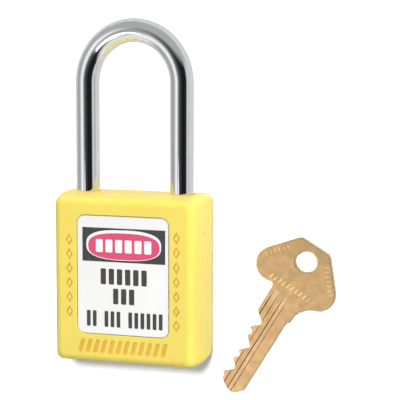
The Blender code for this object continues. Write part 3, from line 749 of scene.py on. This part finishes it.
def make_cylinder_shell(brass):
    profile = [(SHELL_RADIUS - FACE_CHAMFER, FACE), (SHELL_RADIUS, FACE + FACE_CHAMFER),
               (SHELL_RADIUS, SHELL_END)]
    shell = make_object("cylinder_shell_fine", turned(profile), [brass])
    shell.location = LOCK_ORIGIN
    combine(shell, box((0, FACE, -BIBLE_HALF), (BIBLE_REACH, SHELL_END, BIBLE_HALF)), brass, "UNION")
    combine(shell, rod(PLUG_RADIUS + GAP, -OVERSHOOT, SHELL_END + OVERSHOOT), brass)
    for height in PIN_HEIGHTS:
        chamber = rod(CHAMBER_RADIUS, 0, BIBLE_REACH + OVERSHOOT, LEG_SIDES)
        combine(shell, moved(chamber, AXIS_X, (0, height, 0)), brass)
    thread_start = screw_low.y - BOTTOM - GAP
    thread = rod(SCREW_SHANK_RADIUS + GAP, thread_start, SHELL_END + OVERSHOOT, LEG_SIDES)
    combine(shell, moved(thread, offset=(LEG_X, 0, 0)), brass)
    finish_piece(shell, "body", "brass", "cylinder_shell")


def keyway_outline():
    """The keyway across its depth, as (x, z), with a ward for each groove of the key."""
    half_width, half_height = KEYWAY[0] / 2, KEYWAY[1] / 2
    outline = []
    for side in (1, -1):
        wall = [(side * half_width, -side * half_height)]
        wards = sorted((ward for ward in KEYWAY_WARDS if ward[0] == side), key=lambda ward: side * ward[1])
        for _, low, high in wards:
            start, end = (low, high) if side > 0 else (high, low)
            inner = side * (half_width - WARD_REACH)
            wall += [(side * half_width, start), (inner, start), (inner, end), (side * half_width, end)]
        outline += wall + [(side * half_width, side * half_height)]
    return outline


def make_plug(brass, face_brass):
    groove_start, groove_end, groove_depth = PLUG_GROOVE
    profile = [(PLUG_RADIUS - FACE_CHAMFER, FACE), (PLUG_RADIUS, FACE + FACE_CHAMFER),
               (PLUG_RADIUS, groove_start), (PLUG_RADIUS - groove_depth, groove_start),
               (PLUG_RADIUS - groove_depth, groove_end), (PLUG_RADIUS, groove_end), (PLUG_RADIUS, PLUG_END)]
    plug = make_object("plug_fine", turned(profile), [face_brass])
    plug.location = LOCK_ORIGIN
    keyway = skin_rings([[(x, height, z) for x, z in keyway_outline()] for height in (-OVERSHOOT, KEYWAY[2])])
    combine(plug, keyway, brass)
    for height in PIN_HEIGHTS:
        hole = rod(CHAMBER_RADIUS, 0, PLUG_RADIUS + OVERSHOOT, LEG_SIDES)
        combine(plug, moved(hole, AXIS_Z, (0, height, 0)), brass)
    half, reach = TAIL_SLOT[0] / 2, PLUG_RADIUS + OVERSHOOT
    slot = box((-half, PLUG_END - TAIL_SLOT[1], -reach), (half, PLUG_END + OVERSHOOT, reach))
    combine(plug, slot, brass)
    finish_piece(plug, "plug", "brass", "plug")


# Key

def cut_edge():
    """The blade's toothed edge, from the shoulder to the tip, as (distance from the tip, height)."""
    slope = math.tan(math.radians(CUT_SLOPE_DEG))
    places = [BLADE_LENGTH - FIRST_PIN - i * PIN_PITCH for i in range(len(CUT_HEIGHTS))]
    half = CUT_FLAT / 2
    ramp = (BLADE_WIDTH - CUT_HEIGHTS[0]) / slope
    edge = [(places[0] + half + ramp, BLADE_WIDTH)]
    for i, (place, height) in enumerate(zip(places, CUT_HEIGHTS)):
        edge += [(place + half, height), (place - half, height)]
        if i + 1 < len(places):
            following = CUT_HEIGHTS[i + 1]
            run = (PIN_PITCH - CUT_FLAT + (following - height) / slope) / 2
            edge.append((place - half - run, height + run * slope))
    return edge


def key_side(base, radius, steps):
    """One side of the bow on +Y: a hollow arc from the height base, the lobe, then the flat end's corner."""
    reach = LOBE_RADIUS + radius
    side = LOBE_OFFSET - base - radius
    run = math.sqrt(reach**2 - side**2)
    touch_deg = math.degrees(math.atan2(side, run))
    hollow = arc((NECK_END + LOBE_RISE - run, base + radius), radius, -90, touch_deg, steps)
    lobe = arc((NECK_END + LOBE_RISE, LOBE_OFFSET), LOBE_RADIUS, 180 + touch_deg, BOW_SLANT_DEG,
               LOBE_STEPS)
    corner_centre = (KEY_LENGTH - BOW_CORNER_RADIUS, BOW_CORNER_OFFSET)
    return hollow + lobe[1:] + arc(corner_centre, BOW_CORNER_RADIUS, BOW_SLANT_DEG, 0, CORNER_STEPS)


def key_outline():
    middle = BLADE_WIDTH / 2
    teeth = [(u, height - middle) for u, height in cut_edge()]
    tip = [(0, TIP_HEIGHT + TIP_CHAMFER - middle), (0, TIP_HEIGHT - middle), (TIP_HEIGHT, -middle)]
    toothed_side = key_side(middle, NOTCH_RADIUS, NOTCH_STEPS)
    plain_side = [(u, -v) for u, v in key_side(middle + SHOULDER_WIDTH, SWEEP_RADIUS, SWEEP_STEPS)]
    shoulder = [(BLADE_LENGTH, -middle - SHOULDER_WIDTH), (BLADE_LENGTH, -middle)]
    return toothed_side + plain_side[::-1] + shoulder + tip[::-1] + teeth[::-1]


def milled_groove(low, high, end, way):
    """Cutter for a groove along the blade that runs out of the face where the milling wheel left it."""
    face = KEY_THICKNESS if way > 0 else 0
    middle = (low + high) / 2
    floor_half = GROOVE_FLOOR * (high - low)
    spread = ((high - low) / 2 - floor_half) / GROOVE_DEPTH
    wheel_radius = GROOVE_RUN_OUT**2 / (2 * GROOVE_DEPTH)
    rings = []
    for u in [-OVERSHOOT] + list(np.linspace(end - GROOVE_RUN_OUT, end, WHEEL_STEPS + 1)):
        past = max(0.0, u - end + GROOVE_RUN_OUT)
        depth = GROOVE_DEPTH - wheel_radius + math.sqrt(wheel_radius**2 - past**2)
        mouth_half = floor_half + spread * (depth + OVERSHOOT)
        floor, top = face - way * depth, face + way * OVERSHOOT
        rings.append([(u, middle - floor_half, floor), (u, middle + floor_half, floor),
                      (u, middle + mouth_half, top), (u, middle - mouth_half, top)])
    return skin_rings(rings)


def key_stamps():
    """Rows of plain strokes along the bow's slanted sides and across it."""
    parts = []
    lobe_edge = Vector((NECK_END + LOBE_RISE, LOBE_OFFSET))
    slant = Vector((math.cos(math.radians(BOW_SLANT_DEG)), math.sin(math.radians(BOW_SLANT_DEG))))
    along = Vector((slant.y, -slant.x))
    turn = Matrix.Rotation(math.radians(BOW_SLANT_DEG - 90), 4, "Z")
    for side, count in EDGE_STAMPS:
        for i in range(count):
            place = lobe_edge + slant * (LOBE_RADIUS - EDGE_STAMP_INSET)
            place += along * ((i + EDGE_STAMP_START) * EDGE_STAMP_PITCH)
            stroke = groove_cutter(*EDGE_STAMP, STAMP_DEPTH, KEY_THICKNESS, 0, STAMP_DRAFT)
            moved(stroke, turn, (place.x, place.y, 0))
            if side < 0:
                moved(stroke, Matrix.Scale(-1, 4, (0, 1, 0)))
                bmesh.ops.reverse_faces(stroke, faces=stroke.faces)
            parts.append(stroke)
    for i in range(ROW_STAMPS):
        stroke = groove_cutter(*ROW_STAMP, STAMP_DEPTH, KEY_THICKNESS, BAND_SLANT, STAMP_DRAFT)
        across = ((ROW_STAMPS - 1) / 2 - i) * ROW_STAMP_PITCH
        parts.append(moved(stroke, AXIS_X, (NECK_END + ROW_STAMP_PLACE, across, 0)))
    return joined(parts)


def make_key(brass, edge_brass, copper):
    key = make_object("key_fine", prism(key_outline(), 0, KEY_THICKNESS), [brass, edge_brass])
    rounding = key.modifiers.new("edges", "BEVEL")
    rounding.width = KEY_EDGE
    rounding.segments = KEY_EDGE_SEGMENTS
    rounding.limit_method = "ANGLE"
    rounding.angle_limit = math.radians(KEY_EDGE_DEG)
    apply_modifiers(key)
    for face in key.data.polygons:
        face.material_index = 0 if abs(face.normal.z) > FLAT_NORMAL else 1
    middle = KEY_THICKNESS / 2
    profile = [(KEY_HOLE_RADIUS + widening, middle + rise) for widening, rise in mouth(KEY_EDGE)]
    lower = [(radius, -height) for radius, height in reversed(profile)]
    hole = moved(turned(lower + profile), AXIS_Z, (KEY_LENGTH - KEY_HOLE_INSET, 0, middle))
    combine(key, hole, edge_brass)
    for low, high, past_neck, way in GROOVES:
        combine(key, milled_groove(low, high, NECK_END + past_neck, way), copper)
    combine(key, key_stamps(), edge_brass)
    turn = Matrix.Rotation(math.radians(KEY_ANGLE_DEG), 4, "Z")
    key.data.transform(Matrix.Translation((*KEY_TIP, 0)) @ turn)
    finish_piece(key, "key", "brass", "key")


# Carried-over nodes

def finish_inner_nodes(materials):
    """The mechanism inside keeps its CAD meshes and takes a material for its record slot."""
    for part in frame["record"]["subparts"]:
        node = frame["nodes"][part["node"]]
        node.data.materials.clear()
        node.data.materials.append(materials[part["material_slot"]])


# Studio

def make_floor():
    slab = box((-FLOOR_REACH, -FLOOR_REACH, -FLOOR_THICKNESS), (FLOOR_REACH, FLOOR_REACH, -FLOOR_DROP))
    make_object("floor", slab, [floor_finish()])


def add_softbox(name, place, aim, size, power, colour=(1, 1, 1), glossy=False):
    light = bpy.data.lights.new(name, "AREA")
    light.shape = "RECTANGLE"
    light.size, light.size_y = size
    light.energy = power
    light.color = colour
    softbox = bpy.data.objects.new(name, light)
    softbox.location = place
    softbox.rotation_euler = (Vector(aim) - Vector(place)).to_track_quat("-Z", "Y").to_euler()
    softbox.visible_glossy = glossy
    bpy.context.scene.collection.objects.link(softbox)


def make_lights():
    """A small high light, two wide fills for the sides, and a faint panel that only the gloss needs."""
    add_softbox("key_light", (0.14, 0.3, 0.9), LIGHT_AIM, (0.16, 0.16), 11.3, WARM_WHITE)
    add_softbox("right_fill", (1.1, 0.1, 0.16), LIGHT_AIM, (0.5, 0.5), 13.5)
    add_softbox("top_fill", (0.1, 1.1, 0.2), LIGHT_AIM, (0.5, 0.5), 7.0)
    add_softbox("key_panel", (-0.085, -0.165, 0.5), PANEL_AIM, (0.24, 0.2), 0.22, glossy=True)


def make_world():
    """Even light for matt surfaces, a dark and pale studio for gloss, and a pale backdrop."""
    world = bpy.data.worlds.new("studio")
    world.use_nodes = True
    tree = world.node_tree
    direction = tree.nodes.new("ShaderNodeTexCoord").outputs["Generated"]
    parts = tree.nodes.new("ShaderNodeSeparateXYZ")
    tree.links.new(direction, parts.inputs["Vector"])
    angle = tree.nodes.new("ShaderNodeMath")
    angle.operation = "ARCTAN2"
    tree.links.new(parts.outputs["X"], angle.inputs[0])
    tree.links.new(parts.outputs["Z"], angle.inputs[1])
    stops = [(degrees / 360 + 0.5, [grey * tint for tint in SURROUNDINGS_TINT])
             for degrees, grey in SURROUNDINGS]
    shown = colour_ramp(tree, remap(tree, angle.outputs[0], -math.pi, math.pi), stops)
    for full, none, grey in (LOW_CARD, HIGH_CARD):
        shown = blend(tree, remap(tree, parts.outputs["Y"], none, full), shown, grey)
    path = tree.nodes.new("ShaderNodeLightPath").outputs
    shown = blend(tree, path["Is Glossy Ray"], AMBIENT, shown)
    shown = blend(tree, path["Is Camera Ray"], shown, BACKDROP_GREY)
    tree.links.new(shown, tree.nodes["Background"].inputs["Color"])
    bpy.context.scene.world = world


def make_camera():
    data = bpy.data.cameras.new("camera")
    data.lens = CAMERA_LENS
    data.clip_start, data.clip_end = CAMERA_CLIP
    camera = bpy.data.objects.new("camera", data)
    back = (CAMERA_PLACE - CAMERA_AIM).normalized()
    right = Vector((0, 1, 0)).cross(back).normalized()
    up = back.cross(right)
    turn = Matrix((right, up, back)).transposed() @ Matrix.Rotation(math.radians(CAMERA_ROLL_DEG), 3, "Z")
    camera.matrix_world = Matrix.Translation(CAMERA_PLACE) @ turn.to_4x4()
    bpy.context.scene.collection.objects.link(camera)
    bpy.context.scene.camera = camera


def main():
    plastic = moulded_plastic("yellow_plastic", (0.568, 0.455, 0.082), (0.554, 0.441, 0.078))
    # Darker, deeper orange copy of the plastic for the engraved grooves: painted shade standing in for their
    # shading and interreflection.
    groove_shade_plastic = moulded_plastic("plastic_with_painted_groove_shade", (0.55, 0.325, 0.036), (0.53, 0.305, 0.032))
    chrome = polished_chrome()
    film = label_film()
    brass = brass_finish("key_brass", (0.76, 0.495, 0.24), (0.70, 0.45, 0.21))
    edge_brass = brass_finish("key_edge_brass", (0.95, 0.72, 0.38), (0.90, 0.64, 0.31), (0.22, 0.34))
    copper = brass_finish("groove_brass", (0.75, 0.52, 0.30), (0.67, 0.45, 0.25), (0.3, 0.4))
    cylinder_brass = turned_metal("cylinder_brass", (0.84, 0.63, 0.32), (0.76, 0.55, 0.26), (0.25, 0.4))
    inner_brass = turned_metal("keyway_brass", (0.62, 0.44, 0.20), (0.54, 0.37, 0.16), (0.35, 0.5))
    steel = turned_metal("ground_steel", (0.60, 0.60, 0.62), (0.50, 0.50, 0.52), (0.22, 0.36))
    spring_steel = turned_metal("spring_wire", (0.48, 0.49, 0.51), (0.38, 0.39, 0.42), (0.28, 0.42))

    make_body(plastic, groove_shade_plastic)
    make_label(film)
    make_prints()
    make_shackle(chrome)
    make_cylinder_shell(cylinder_brass)
    make_plug(inner_brass, cylinder_brass)
    make_key(brass, edge_brass, copper)
    finish_inner_nodes({"yellow_plastic": plastic, "label_film": film, "chromed_steel": chrome,
                        "steel": steel, "spring_steel": spring_steel, "brass": cylinder_brass})
    make_floor()
    make_lights()
    make_world()
    make_camera()
    bpy.context.scene.view_settings.view_transform = "Standard"
    bpy.context.view_layer.update()


main()
